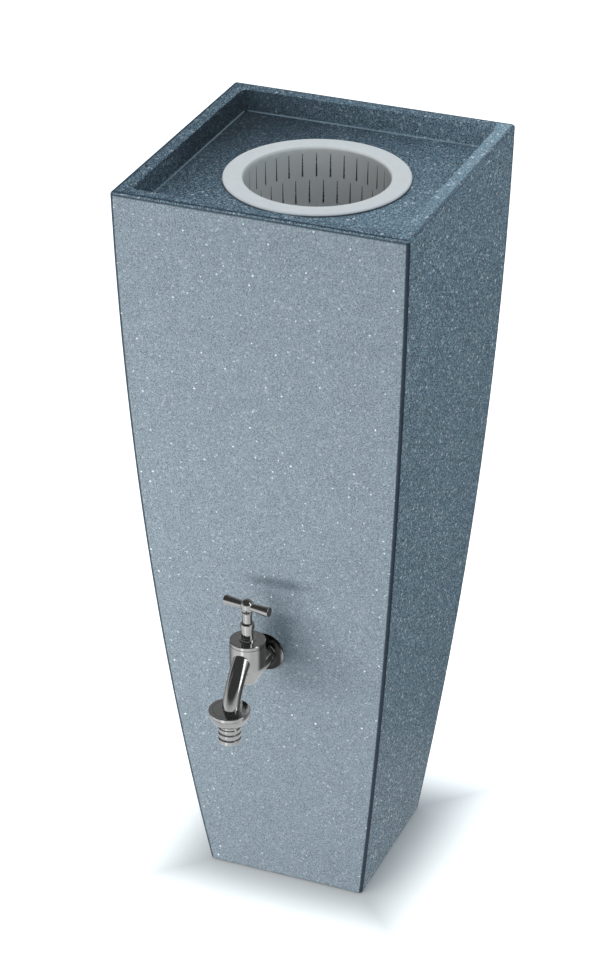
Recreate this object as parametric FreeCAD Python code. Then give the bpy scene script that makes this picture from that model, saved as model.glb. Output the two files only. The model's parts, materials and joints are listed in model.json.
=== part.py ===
import FreeCAD, Part
import math
import os

V = FreeCAD.Vector
UP = V(0, 0, 1)
OUT = V(0, -1, 0)

# Rainwater tank, millimetres. The base stands on z = 0, centred on the Z axis.
# The front, with the tap, faces -Y, and +X is to the right of someone who looks at it.

# Tank shell: one hollow moulding, square in plan, widest at the rim, with bowed sides
tank_height = 1000.0
rim_width = 380.0
base_width = 217.5
side_bulge = 15.6
wall = 4.5
side_edge_r = 4.5
rim_edge_r = 3.6
base_edge_r = 5.0
inner_edge_r = 2.5

# Planter tray sunk into the top of the shell
rim_band = 19.5
tray_depth = 28.4
tray_draft = 4.0
tray_corner_r = 9.0
tray_floor_r = 3.0
tray_lip_r = 2.0

# Filter basket: a flanged ring and a slotted, tapered cup in one moulding
ring_r = 115.8
ring_thick = 5.0
ring_edge_r = 1.2
ring_seat_depth = 1.0
ring_seat_gap = 0.6
basket_mouth_r = 92.5
basket_r = 90.0
basket_depth = 122.0
basket_taper = 2.0
basket_wall = 2.2
basket_foot_r = 8.0
basket_hole_gap = 1.6
mouth_depth = 4.5
slot_count = 32
slot_rows = 3
slot_first_foot = 40.1
slot_row_pitch = 35.2
slot_length = 31.0
slot_foot_width = 2.3
slot_head_width = 0.8
drain_count = 16
drain_inner_r = 26.0
drain_length = 44.0

# Tap place on the front wall: the inlet axis, and how far the barrel stands out
tap_x = -8.0
tap_z = 381.0
tap_reach = 57.0

# Moulded boss and the threaded bush that the tap screws into
boss_r = 27.5
boss_depth = 18.0
bush_r = 17.0
bush_length = 16.0
bush_rib_r = 20.5
bush_rib_length = 4.0
bush_mouth_r = 14.0
thread_gap = 0.05

# Tap body: shank, wrench hexagon, barrel and spout cast in one piece
shank_r = 13.2
shank_length = 14.0
shank_bore_r = 8.5
hex_flats = 29.0
hex_length = 6.5
neck_r = 15.5
neck_end_r = 12.5
barrel_r = 22.8
barrel_rise = 45.2
bowl_top_rise = 11.0
bowl_tip_rise = 0.2
bowl_tip_r = 15.0
bowl_shoulder_r = 24.0
casting_wall = 4.3
deck_rise = 19.0
deck_thick = 4.0
seat_height = 2.0
seat_r = 11.0
seat_bore_r = 8.5
spout_r = 11.2
spout_wall = 3.5
spout_fall_start = 30.0
spout_fall_end = 72.0
spout_lead = 5.0
spout_root_r = 2.0
neck_root_r = 3.0
outlet_reach = 59.5
outlet_drop = 17.6
collar_r = 20.5
collar_thick = 3.0
outlet_thread_r = 16.6
outlet_thread_length = 7.9
outlet_bore_r = 9.5

# Gasket and wall flange round the shank
gasket_r = 20.0
gasket_thick = 1.5
rosette_r = 25.6
rosette_rim = 2.0
rosette_height = 7.4
rosette_crown = 1.5
rosette_bore_gap = 0.6

# Bonnet, its seal, and the gland
bonnet_seal_thick = 0.8
bonnet_seal_band = 2.6
flange_thick = 4.6
flange_edge_r = 0.7
spigot_length = 6.0
spigot_wall = 2.4
bonnet_boss_r = 8.2
bonnet_neck_r = 8.0
bonnet_bead_r = 10.4
bonnet_bead_height = 2.6
bonnet_neck_height = 17.2
gland_thread_r = 7.3
gland_thread_length = 4.5
packing_r = 6.2
packing_depth = 8.5
packing_length = 6.0
gland_washer_thick = 1.0
gland_nut_r = 8.9
gland_nut_height = 6.8
gland_nut_edge_r = 1.2
gland_nut_crown = 1.5

# Rising spindle, T handle and the valve that the spindle presses on its seat
spindle_thread_r = 5.15
spindle_shaft_r = 4.0
spindle_square = 5.6
square_length = 12.0
square_start = 8.2
turning_gap = 0.08
valve_lift = 6.0
valve_r = 10.4
valve_washer_thick = 4.0
valve_disc_thick = 2.5
valve_stem_r = 2.5
valve_stem_length = 7.4
valve_stud_r = 1.8
valve_nut_flats = 6.4
valve_nut_thick = 2.4
seat_gap = 0.1
handle_gap = 0.6
handle_neck_r = 6.1
handle_neck_length = 13.8
handle_ring_r = 7.3
handle_ring_height = 2.2
hub_r = 8.3
hub_height = 17.2
hub_flare = 0.4
handle_span = 64.0
handle_set = -8.0
arm_root_r = 4.4
arm_tip_r = 6.6
arm_tip_edge_r = 0.8
arm_drop = 9.5

# Union nut, gasket and hose tail under the spout
nut_r = 26.2
nut_band = 4.8
nut_groove_depth = 1.1
nut_groove_width = 0.9
nut_waist_r = 25.4
nut_swell = 1.8
nut_height = 19.6
nut_foot_r = 16.6
nut_edge_r = 1.0
nut_band_edge_r = 0.5
nut_gap = 0.1
collar_gap = 0.4
union_gasket_thick = 2.0
tail_flange_r = 16.2
tail_flange_thick = 3.0
tail_neck_r = 13.2
tail_r = 14.4
tail_valley_r = 12.7
tail_bore_r = 9.5
tail_rib_count = 3
tail_rib_start = 9.2
tail_rib_land = 4.0
tail_rib_ramp = 4.2
tail_nose = 1.4
tail_gap = 0.3

# The circle that each side of the tank follows, and places that several pieces share
chord_run = (rim_width - base_width) / 2.0
chord = math.hypot(chord_run, tank_height)
side_radius = (chord * chord / 4.0 + side_bulge * side_bulge) / (2.0 * side_bulge)
chord_slope = math.atan2(chord_run, tank_height)
side_centre_x = (rim_width + base_width) / 4.0 - (side_radius - side_bulge) * math.cos(chord_slope)
side_centre_z = tank_height / 2.0 + (side_radius - side_bulge) * math.sin(chord_slope)


def half_width(z, inset=0.0):
    """Half the tank's width at height z, measured a distance inside the outer face."""
    rise = z - side_centre_z
    return side_centre_x + math.sqrt((side_radius - inset) ** 2 - rise * rise)


tray_z = tank_height - tray_depth
ring_z = tray_z - ring_seat_depth
ring_top = ring_z + ring_thick
basket_hole_r = basket_r + basket_wall + basket_hole_gap
pad_y = -half_width(tap_z)
barrel_y = pad_y - tap_reach
barrel_top = tap_z + barrel_rise
bowl_top = tap_z + bowl_top_rise
bowl_tip_z = tap_z + bowl_tip_rise
bowl_slope = math.atan2(bowl_top - bowl_tip_z, barrel_r) - math.acos(
    bowl_tip_r / math.hypot(barrel_r, bowl_top - bowl_tip_z))
bowl_shoulder_z = bowl_top - bowl_shoulder_r * math.tan(bowl_slope / 2.0)
deck_z = tap_z + deck_rise
seat_z = deck_z + seat_height
chamber_r = barrel_r - casting_wall
flange_z = barrel_top + bonnet_seal_thick
flange_top = flange_z + flange_thick
neck_top = flange_top + bonnet_neck_height
gland_top = neck_top + gland_nut_height
packing_z = neck_top + gland_thread_length - packing_depth
packing_top = packing_z + gland_washer_thick + packing_length
spindle_bore_r = spindle_thread_r + turning_gap
valve_z = seat_z + seat_gap
valve_disc_z = valve_z + valve_washer_thick
spindle_foot = valve_disc_z + valve_disc_thick + seat_gap
handle_foot = gland_top + handle_gap
handle_top = handle_foot + handle_neck_length + handle_ring_height + hub_height
square_z = handle_foot + square_start
outlet_y = barrel_y - outlet_reach
outlet_top = tap_z - outlet_drop
outlet_foot = outlet_top - collar_thick - outlet_thread_length
tail_top = outlet_foot - union_gasket_thick
nut_lip_z = tail_top - tail_flange_thick - seat_gap
nut_foot = outlet_top - nut_height


def turned(points, x=0.0, y=0.0):
    """A solid of revolution about a vertical axis at (x, y).

    Each point of the outline is (radius, height), reached by a straight line. A point
    with four values is reached by an arc through the first pair to the second.
    """
    edges = []
    last = V(points[-1][-2], 0, points[-1][-1])
    for point in points:
        here = V(point[-2], 0, point[-1])
        if len(point) == 4:
            edges.append(Part.Arc(last, V(point[0], 0, point[1]), here).toShape())
        else:
            edges.append(Part.makeLine(last, here))
        last = here
    solid = Part.Face(Part.Wire(edges)).revolve(V(0, 0, 0), UP, 360)
    solid.translate(V(x, y, 0))
    return solid


def turned_on_inlet(points):
    """A solid of revolution about the inlet axis, from (radius, distance out of the wall)."""
    solid = turned(points)
    solid.rotate(V(0, 0, 0), V(1, 0, 0), 90)
    solid.translate(V(tap_x, pad_y, tap_z))
    return solid


def rod(radius, x, y, z_low, z_high):
    return Part.makeCylinder(radius, z_high - z_low, V(x, y, z_low), UP)


def tap_rod(radius, z_low, z_high):
    return rod(radius, tap_x, barrel_y, z_low, z_high)


def inlet_rod(radius, out_from, out_to):
    start = V(tap_x, pad_y - out_from, tap_z)
    return Part.makeCylinder(radius, out_to - out_from, start, OUT)


def hexagon(flats, x, y, z_low, z_high):
    corner_r = flats / math.sqrt(3.0)
    corners = []
    for step in range(7):
        angle = math.radians(60 * step)
        corners.append(V(x + corner_r * math.cos(angle), y + corner_r * math.sin(angle), z_low))
    return Part.Face(Part.makePolygon(corners)).extrude(V(0, 0, z_high - z_low))


def edges_at_height(shape, z):
    """Every edge that lies level at height z."""
    found = []
    for edge in shape.Edges:
        box = edge.BoundBox
        if abs(box.ZMin - z) < 0.01 and abs(box.ZMax - z) < 0.01:
            found.append(edge)
    return found


def circles_at(shape, radius, z):
    """The level circular edges of one radius at height z."""
    return [e for e in edges_at_height(shape, z)
            if isinstance(e.Curve, Part.Circle) and abs(e.Curve.Radius - radius) < 0.01]


def bowed_slab(inset, z_low, z_high):
    """The tank's side profile between two heights, extruded along Y past both faces."""
    z_mid = (z_low + z_high) / 2.0
    x_low = half_width(z_low, inset)
    x_mid = half_width(z_mid, inset)
    x_high = half_width(z_high, inset)
    right = Part.Arc(V(x_low, 0, z_low), V(x_mid, 0, z_mid), V(x_high, 0, z_high)).toShape()
    left = Part.Arc(V(-x_high, 0, z_high), V(-x_mid, 0, z_mid), V(-x_low, 0, z_low)).toShape()
    top = Part.makeLine(V(x_high, 0, z_high), V(-x_high, 0, z_high))
    foot = Part.makeLine(V(-x_low, 0, z_low), V(x_low, 0, z_low))
    face = Part.Face(Part.Wire([right, top, left, foot]))
    face.translate(V(0, -rim_width, 0))
    return face.extrude(V(0, 2.0 * rim_width, 0))


def bowed_block(inset, z_low, z_high, edge_r):
    """The tank's form between two heights: two bowed slabs crossed, corner edges rounded."""
    slab = bowed_slab(inset, z_low, z_high)
    across = slab.copy()
    across.rotate(V(0, 0, 0), UP, 90)
    block = slab.common(across).removeSplitter()
    corners = [e for e in block.Edges if e.BoundBox.ZLength > (z_high - z_low) / 2.0]
    return block.makeFillet(edge_r, corners)


def rounded_square(half, corner_r, z):
    """A level square wire with rounded corners."""
    inner = half - corner_r
    mid = inner + corner_r / math.sqrt(2.0)
    edges = []
    for quarter in range(4):
        side = Part.makeLine(V(half, -inner, z), V(half, inner, z))
        corner = Part.Arc(V(half, inner, z), V(mid, mid, z), V(inner, half, z)).toShape()
        for edge in (side, corner):
            edge.rotate(V(0, 0, 0), UP, 90 * quarter)
            edges.append(edge)
    return Part.Wire(edges)


def tray_block(grow):
    """The tray's space, grown outward and downward, from its floor to past the rim."""
    top_half = rim_width / 2.0 - rim_band + grow
    floor_half = top_half - tray_draft
    above = tray_lip_r + 2.0
    top_half += tray_draft * above / tray_depth
    corner_r = tray_corner_r + grow
    low = rounded_square(floor_half, corner_r, tray_z - grow)
    high = rounded_square(top_half, corner_r, tank_height + above)
    block = Part.makeLoft([low, high], True, True)
    return block.makeFillet(tray_floor_r + grow, edges_at_height(block, tray_z - grow))


def make_bush():
    """Threaded brass bush, moulded into the boss behind the tap."""
    bore_r = shank_r + thread_gap
    rib_far = (bush_length + bush_rib_length) / 2.0
    return turned_on_inlet([
        (bore_r, 0), (bush_r, 0), (bush_r, -rib_far + bush_rib_length),
        (bush_rib_r, -rib_far + bush_rib_length), (bush_rib_r, -rib_far),
        (bush_r, -rib_far), (bush_r, -bush_length), (bore_r, -bush_length),
    ])


def make_shell(bush):
    """Hollow one-piece tank with the tray sunk in its top and the boss for the tap."""
    body = bowed_block(0.0, 0.0, tank_height, side_edge_r)
    body = body.makeFillet(rim_edge_r, edges_at_height(body, tank_height))
    body = body.makeFillet(base_edge_r, edges_at_height(body, 0.0))
    body = body.cut(tray_block(0.0))
    lip_reach = rim_width / 2.0 - rim_band + tray_lip_r
    lip = [e for e in edges_at_height(body, tank_height) if e.BoundBox.XMax < lip_reach
           and e.BoundBox.XMin > -lip_reach and abs(e.BoundBox.YMax) < lip_reach
           and abs(e.BoundBox.YMin) < lip_reach]
    body = body.makeFillet(tray_lip_r, lip)
    hollow = bowed_block(wall, wall, tank_height - wall, inner_edge_r)
    body = body.cut(hollow.cut(tray_block(wall)))
    body = body.cut(rod(basket_hole_r, 0, 0, tray_z - 2.0 * wall, tray_z + wall))
    body = body.cut(rod(ring_r + ring_seat_gap, 0, 0, ring_z, tray_z + wall))
    body = body.fuse(inlet_rod(boss_r, -boss_depth, 0.0))
    body = body.cut(inlet_rod(boss_r, 0.0, 2.0 * wall))
    core = bush.fuse(inlet_rod(bush_mouth_r, -boss_depth - wall, 0.0))
    return body.cut(core).removeSplitter()


def slot_cutter(radius, foot_z):
    """A wedge that cuts one upright slot at azimuth 0, wide at its foot, narrow at its head."""
    foot = slot_foot_width / 2.0
    head = slot_head_width / 2.0
    inside = radius - 4.0 * basket_wall
    outline = [V(inside, -foot, foot_z), V(inside, foot, foot_z),
               V(inside, head, foot_z + slot_length), V(inside, -head, foot_z + slot_length)]
    face = Part.Face(Part.makePolygon(outline + outline[:1]))
    return face.extrude(V(8.0 * basket_wall, 0, 0))


def make_basket():
    """Flange ring lying in its seat in the tray floor, the slotted cup hanging through the hole."""
    floor_z = ring_top - basket_depth
    foot_r = basket_r - basket_taper
    shoulder_z = ring_top - mouth_depth
    top_round = ring_edge_r / 2.0
    profile = [
        (0, floor_z), (foot_r - basket_foot_r, floor_z), (foot_r, floor_z + basket_foot_r),
        (basket_r, shoulder_z), (basket_mouth_r - top_round, ring_top - top_round),
        (basket_mouth_r + top_round, ring_top), (ring_r - ring_edge_r, ring_top),
        (ring_r, ring_top - ring_edge_r), (ring_r, ring_z),
        (basket_r + basket_wall, ring_z),
        (foot_r + basket_wall, floor_z + basket_foot_r),
        (foot_r - basket_foot_r + basket_wall / 2.0, floor_z - basket_wall), (0, floor_z - basket_wall),
    ]
    basket = turned(profile)
    cutters = []
    turn = 360.0 / slot_count
    for row in range(slot_rows):
        foot_z = ring_top - slot_first_foot - row * slot_row_pitch
        for place in range(slot_count):
            cutter = slot_cutter(basket_r, foot_z)
            cutter.rotate(V(0, 0, 0), UP, 90.0 - turn * (place + row % 2 / 2.0))
            cutters.append(cutter)
    drain_half = slot_foot_width / 2.0
    for place in range(drain_count):
        drain = Part.makeBox(drain_length, slot_foot_width, 4.0 * basket_wall,
                             V(drain_inner_r, -drain_half, floor_z - 2.0 * basket_wall))
        drain.rotate(V(0, 0, 0), UP, 360.0 * place / drain_count)
        cutters.append(drain)
    return basket.cut(Part.makeCompound(cutters))


def spout_path(extra):
    """The spout's centre line: an arc that steepens as it falls, then a straight run."""
    start_angle = math.radians(spout_fall_start)
    end_angle = math.radians(spout_fall_end)
    end_y = outlet_y + spout_lead
    end_z = outlet_top - collar_thick / 2.0
    start_y = barrel_y - chamber_r + casting_wall
    radius = (start_y - end_y) / (math.sin(end_angle) - math.sin(start_angle))

    def at(angle):
        drop = radius * (math.cos(angle) - math.cos(end_angle))
        back = radius * (math.sin(end_angle) - math.sin(angle))
        return V(tap_x, end_y + back, end_z + drop)

    fall = V(0, -math.cos(end_angle), -math.sin(end_angle))
    middle = at((start_angle + end_angle) / 2.0)
    arc = Part.Arc(at(start_angle), middle, at(end_angle)).toShape()
    run = Part.makeLine(at(end_angle), at(end_angle) + fall * extra)
    start_way = V(0, -math.cos(start_angle), -math.sin(start_angle))
    return Part.Wire([arc, run]), at(start_angle), start_way


def spout_tube(radius, extra):
    path, start, way = spout_path(extra)
    ring = Part.Wire(Part.makeCircle(radius, start, way))
    return path.makePipeShell([ring], True, True)


def barrel_form(inset, top):
    """The barrel with its tapering, round-tipped bottom, a distance inside its outer face."""
    wall_r = barrel_r - inset
    tip_r = bowl_tip_r - inset
    middle = (bowl_slope - math.pi / 2.0) / 2.0
    shoulder_r = bowl_shoulder_r - inset
    centre_r = barrel_r - bowl_shoulder_r
    return turned([
        (0, bowl_tip_z - tip_r),
        (tip_r * math.cos(middle), bowl_tip_z + tip_r * math.sin(middle),
         tip_r * math.cos(bowl_slope), bowl_tip_z + tip_r * math.sin(bowl_slope)),
        (centre_r + shoulder_r * math.cos(bowl_slope),
         bowl_shoulder_z + shoulder_r * math.sin(bowl_slope)),
        (centre_r + shoulder_r * math.cos(bowl_slope / 2.0),
         bowl_shoulder_z + shoulder_r * math.sin(bowl_slope / 2.0), wall_r, bowl_shoulder_z),
        (wall_r, top), (0, top)], tap_x, barrel_y)


def on_barrel(point):
    """Whether a point lies on the barrel's outer wall, its taper or its round tip."""
    across = math.hypot(point.x - tap_x, point.y - barrel_y)
    rise = point.z - bowl_tip_z
    on_wall = abs(across - barrel_r)
    on_taper = abs(across * math.cos(bowl_slope) + rise * math.sin(bowl_slope) - bowl_tip_r)
    on_tip = abs(math.hypot(across, rise) - bowl_tip_r)
    from_shoulder = math.hypot(across - barrel_r + bowl_shoulder_r, point.z - bowl_shoulder_z)
    on_shoulder = abs(from_shoulder - bowl_shoulder_r)
    return min(on_wall, on_taper, on_tip, on_shoulder) < 0.05


def casting_joints(body):
    """The edges where the spout, in front, and the neck, behind, grow out of the barrel."""
    spout_root = []
    neck_root = []
    for edge in body.Edges:
        if edge.Degenerated:
            continue
        box = edge.BoundBox
        on_seam = max(abs(box.YMin - barrel_y), abs(box.YMax - barrel_y)) < 0.01
        if on_seam or box.ZMax > barrel_top - spout_root_r or box.ZLength < 1.0:
            continue
        first, last = edge.ParameterRange
        points = [edge.valueAt(first + (last - first) * step / 8.0) for step in range(9)]
        if all(on_barrel(point) for point in points):
            (spout_root if box.YMax < barrel_y else neck_root).append(edge)
    return spout_root, neck_root


def make_tap_body():
    """Casting with shank, hexagon, neck, barrel with a tapering bottom, and arched spout."""
    shank = inlet_rod(shank_r, -shank_length, rosette_height + hex_length)
    nut = hexagon(hex_flats, 0, 0, rosette_height, rosette_height + hex_length)
    nut.rotate(V(0, 0, 0), V(1, 0, 0), 90)
    nut.translate(V(tap_x, pad_y, tap_z))
    neck_start = pad_y - rosette_height - hex_length
    small = Part.Wire(Part.makeCircle(neck_r, V(tap_x, neck_start, tap_z), OUT))
    large = Part.Wire(Part.makeCircle(neck_end_r, V(tap_x, barrel_y, bowl_tip_z), OUT))
    neck = Part.makeLoft([small, large], True, True)
    spout = spout_tube(spout_r, spout_r)
    below_collar = rod(2.0 * collar_r, tap_x, outlet_y, nut_foot, outlet_top - collar_thick)
    spout = spout.cut(below_collar)
    collar = rod(collar_r, tap_x, outlet_y, outlet_top - collar_thick, outlet_top)
    outlet = rod(outlet_thread_r, tap_x, outlet_y, outlet_foot, outlet_top - collar_thick)
    barrel = barrel_form(0, barrel_top)
    body = barrel.fuse([neck, nut, shank, spout, collar, outlet]).removeSplitter()
    spout_root, neck_root = casting_joints(body)
    body = body.makeFillet(spout_root_r, spout_root)
    neck_root = casting_joints(body)[1]
    body = body.makeFillet(neck_root_r, neck_root)

    upper = tap_rod(chamber_r, deck_z, barrel_top).cut(tap_rod(seat_r, deck_z, seat_z))
    seat_bore = tap_rod(seat_bore_r, deck_z - deck_thick, seat_z)
    lower = barrel_form(casting_wall, deck_z - deck_thick)
    inlet_way = inlet_rod(shank_bore_r, -shank_length, tap_reach)
    spout_way = spout_tube(spout_r - spout_wall, spout_r)
    deck = tap_rod(seat_r, deck_z - deck_thick, seat_z).fuse(
        tap_rod(chamber_r, deck_z - deck_thick, deck_z))
    spout_way = spout_way.cut(deck)
    outlet_way = rod(outlet_bore_r, tap_x, outlet_y, outlet_foot, outlet_top - collar_thick)
    waterway = [upper, seat_bore, lower, inlet_way, spout_way, outlet_way]
    return body.cut(waterway).removeSplitter()


def make_gasket():
    """Flat rubber ring between the tap and the tank's wall."""
    inner_r = shank_r + thread_gap
    return turned_on_inlet([(inner_r, 0), (gasket_r, 0), (gasket_r, gasket_thick),
                            (inner_r, gasket_thick)])


def make_rosette():
    """Dished wall flange that covers the gasket; the hexagon holds it to the wall."""
    bore_r = shank_r + rosette_bore_gap
    recess_r = gasket_r + rosette_bore_gap
    crown_r = hex_flats / 2.0 + rosette_crown
    sag = 1.0 - math.cos(math.radians(45.0))
    return turned_on_inlet([
        (bore_r, gasket_thick), (recess_r, gasket_thick), (recess_r, 0), (rosette_r, 0),
        (rosette_r, rosette_rim),
        (crown_r + sag * (rosette_r - crown_r),
         rosette_rim + sag * (rosette_height - rosette_rim), crown_r, rosette_height),
        (bore_r, rosette_height),
    ])


def make_bonnet():
    """Round cap screwed into the barrel, with the spindle's neck and the packing box."""
    spigot_r = chamber_r - thread_gap
    spigot_foot = flange_z - spigot_length
    bonnet = turned([
        (spindle_bore_r, spigot_foot), (bonnet_boss_r, spigot_foot), (bonnet_boss_r, flange_z),
        (spigot_r - spigot_wall, flange_z), (spigot_r - spigot_wall, spigot_foot),
        (spigot_r, spigot_foot), (spigot_r, flange_z), (barrel_r, flange_z),
        (barrel_r, flange_top - flange_edge_r), (barrel_r - flange_edge_r, flange_top),
        (bonnet_bead_r, flange_top), (bonnet_bead_r, flange_top + bonnet_bead_height),
        (bonnet_neck_r, flange_top + bonnet_bead_height), (bonnet_neck_r, neck_top),
        (gland_thread_r, neck_top), (gland_thread_r, neck_top + gland_thread_length),
        (packing_r, neck_top + gland_thread_length), (packing_r, packing_z),
        (spindle_bore_r, packing_z),
    ], tap_x, barrel_y)
    bead = circles_at(bonnet, bonnet_bead_r, flange_top + bonnet_bead_height)
    return bonnet.makeFillet(bonnet_bead_height / 2.0, bead)


def make_bonnet_seal():
    inner_r = chamber_r + thread_gap
    outer_r = chamber_r + bonnet_seal_band
    return turned([(inner_r, barrel_top), (outer_r, barrel_top), (outer_r, flange_z),
                   (inner_r, flange_z)], tap_x, barrel_y)


def ring_in_gland(z_low, z_high):
    """A ring that fills the packing box between two heights, round the spindle."""
    inner_r = spindle_shaft_r + turning_gap
    outer_r = packing_r - thread_gap
    return turned([(inner_r, z_low), (outer_r, z_low), (outer_r, z_high), (inner_r, z_high)],
                  tap_x, barrel_y)


def make_gland_nut():
    """Cap nut over the packing box, with the short sleeve that squeezes the packing."""
    hole_r = spindle_shaft_r + turning_gap
    sleeve_r = packing_r - thread_gap
    thread_r = gland_thread_r + thread_gap
    crown_z = gland_top - gland_nut_crown
    nut = turned([
        (hole_r, packing_top), (sleeve_r, packing_top), (sleeve_r, crown_z), (thread_r, crown_z),
        (thread_r, neck_top), (gland_nut_r, neck_top), (gland_nut_r, gland_top),
        (hole_r, gland_top),
    ], tap_x, barrel_y)
    return nut.makeFillet(gland_nut_edge_r, circles_at(nut, gland_nut_r, gland_top))


def set_round(piece):
    """Turns a piece on the tap's axis to where the closed handle stands."""
    piece.rotate(V(tap_x, barrel_y, 0), V(0, 0, 1), handle_set)
    return piece


def make_spindle():
    """Threaded spindle with a square top for the handle and a socket for the valve's stem."""
    thread_top = packing_z - valve_lift - seat_gap
    socket_r = valve_stem_r + turning_gap
    socket_top = valve_disc_z + valve_disc_thick + valve_stem_length + seat_gap
    shaft_top = square_z
    chamfer = spindle_thread_r - spindle_shaft_r
    spindle = turned([
        (socket_r, spindle_foot), (spindle_thread_r, spindle_foot),
        (spindle_thread_r, thread_top - chamfer), (spindle_shaft_r, thread_top),
        (spindle_shaft_r, shaft_top), (0, shaft_top), (0, socket_top), (socket_r, socket_top),
    ], tap_x, barrel_y)
    half = spindle_square / 2.0
    square = Part.makeBox(spindle_square, spindle_square, square_length,
                          V(tap_x - half, barrel_y - half, shaft_top))
    return set_round(spindle.fuse(square))


def make_valve_jumper():
    """Loose valve disc: a stem up into the spindle and a stud down through the washer."""
    disc_top = valve_disc_z + valve_disc_thick
    stud_foot = valve_z - valve_nut_thick - valve_stud_r / 2.0
    return turned([
        (0, stud_foot), (valve_stud_r, stud_foot), (valve_stud_r, valve_disc_z),
        (valve_r, valve_disc_z), (valve_r, disc_top), (valve_stem_r, disc_top),
        (valve_stem_r, disc_top + valve_stem_length), (0, disc_top + valve_stem_length),
    ], tap_x, barrel_y)


def make_valve_washer():
    return turned([(valve_stud_r, valve_z), (valve_r, valve_z), (valve_r, valve_disc_z),
                   (valve_stud_r, valve_disc_z)], tap_x, barrel_y)


def make_valve_nut():
    nut = hexagon(valve_nut_flats, tap_x, barrel_y, valve_z - valve_nut_thick, valve_z)
    return nut.cut(tap_rod(valve_stud_r, valve_z - valve_nut_thick, valve_z))


def make_handle():
    """T handle in one casting: neck, small ring, domed hub and two swelling arms."""
    neck_top_z = handle_foot + handle_neck_length
    hub_foot = neck_top_z + handle_ring_height
    dome_z = handle_top - hub_r
    dome_side = hub_r * math.cos(math.radians(45.0))
    hub = turned([
        (0, handle_foot), (handle_neck_r, handle_foot), (handle_neck_r, neck_top_z),
        (handle_ring_r, neck_top_z + handle_ring_height / 2.0, handle_neck_r, hub_foot),
        (hub_r - hub_flare, (hub_foot + dome_z) / 2.0, hub_r, dome_z),
        (dome_side, dome_z + dome_side, 0, handle_top)], tap_x, barrel_y)
    arm_z = handle_top - arm_drop
    arms = []
    for side in (-1.0, 1.0):
        arm = Part.makeCone(arm_root_r, arm_tip_r, handle_span / 2.0,
                            V(tap_x, barrel_y, arm_z), V(side, 0, 0))
        tip_x = tap_x + side * handle_span / 2.0
        tip = [e for e in arm.Edges if e.BoundBox.XLength < 0.01 and abs(e.BoundBox.XMin - tip_x) < 0.01]
        arms.append(arm.makeFillet(arm_tip_edge_r, tip))
    handle = hub.fuse(arms)
    bore = tap_rod(spindle_shaft_r + thread_gap, handle_foot, square_z)
    half = spindle_square / 2.0 + thread_gap
    socket = Part.makeBox(2.0 * half, 2.0 * half, square_length + thread_gap,
                          V(tap_x - half, barrel_y - half, square_z))
    return set_round(handle.cut([bore, socket]))


def make_union_nut():
    """Union nut: screws up onto the outlet and carries the hose tail on its inner lip."""
    collar_seat = outlet_top - collar_thick - collar_gap
    thread_r = outlet_thread_r + nut_gap
    lip_r = tail_r + tail_gap
    band_foot = outlet_top - nut_band
    waist_z = band_foot - nut_groove_width
    flank = math.atan2(waist_z - nut_foot, nut_waist_r - nut_foot_r)
    groove_r = nut_r - nut_groove_depth
    nut = turned([
        (lip_r, nut_foot), (nut_foot_r, nut_foot),
        ((nut_foot_r + nut_waist_r) / 2.0 + nut_swell * math.sin(flank),
         (nut_foot + waist_z) / 2.0 - nut_swell * math.cos(flank), nut_waist_r, waist_z),
        (groove_r, waist_z), (groove_r, band_foot), (nut_r, band_foot),
        (nut_r, outlet_top), (collar_r + collar_gap, outlet_top),
        (collar_r + collar_gap, collar_seat), (thread_r, collar_seat), (thread_r, nut_lip_z),
        (lip_r, nut_lip_z),
    ], tap_x, outlet_y)
    nut = nut.makeFillet(nut_edge_r, circles_at(nut, nut_r, outlet_top))
    return nut.makeFillet(nut_band_edge_r, circles_at(nut, nut_r, band_foot))


def make_union_gasket():
    return turned([(tail_bore_r, tail_top), (tail_flange_r, tail_top),
                   (tail_flange_r, outlet_foot), (tail_bore_r, outlet_foot)], tap_x, outlet_y)


def make_hose_tail():
    """Flanged tail with rounded-back ribs that the hose is pushed over."""
    flange_foot = tail_top - tail_flange_thick
    points = [(tail_bore_r, tail_top), (tail_flange_r, tail_top), (tail_flange_r, flange_foot),
              (tail_neck_r, flange_foot)]
    z = tail_top - tail_flange_thick - tail_rib_start
    points += [(tail_neck_r, z)]
    for rib in range(tail_rib_count):
        points += [(tail_r, z), (tail_r, z - tail_rib_land)]
        z -= tail_rib_land
        if rib < tail_rib_count - 1:
            z -= tail_rib_ramp
            points += [(tail_valley_r, z)]
    points += [(tail_neck_r, z - tail_nose), (tail_bore_r, z - tail_nose)]
    return turned(points, tap_x, outlet_y)


def build():
    bush = make_bush()
    washer_top = packing_z + gland_washer_thick
    return {
        "tank_shell": make_shell(bush),
        "filter_basket": make_basket(),
        "wall_bush": bush,
        "inlet_gasket": make_gasket(),
        "wall_rosette": make_rosette(),
        "tap_body": make_tap_body(),
        "bonnet": make_bonnet(),
        "bonnet_seal": make_bonnet_seal(),
        "gland_washer": ring_in_gland(packing_z, washer_top),
        "gland_packing": ring_in_gland(washer_top, packing_top),
        "gland_nut": make_gland_nut(),
        "spindle": make_spindle(),
        "t_handle": make_handle(),
        "valve_jumper": make_valve_jumper(),
        "valve_washer": make_valve_washer(),
        "valve_nut": make_valve_nut(),
        "union_nut": make_union_nut(),
        "union_gasket": make_union_gasket(),
        "hose_tail": make_hose_tail(),
    }


os.makedirs("parts", exist_ok=True)
for name, shape in build().items():
    print(name, "valid", shape.isValid(), "solids", len(shape.Solids),
          "volume", round(shape.Volume / 1000.0, 2), "cm3")
    shape.exportStep("parts/" + name + ".step")
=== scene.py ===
import json
import math
import bpy
from mathutils import Matrix, Vector

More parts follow.
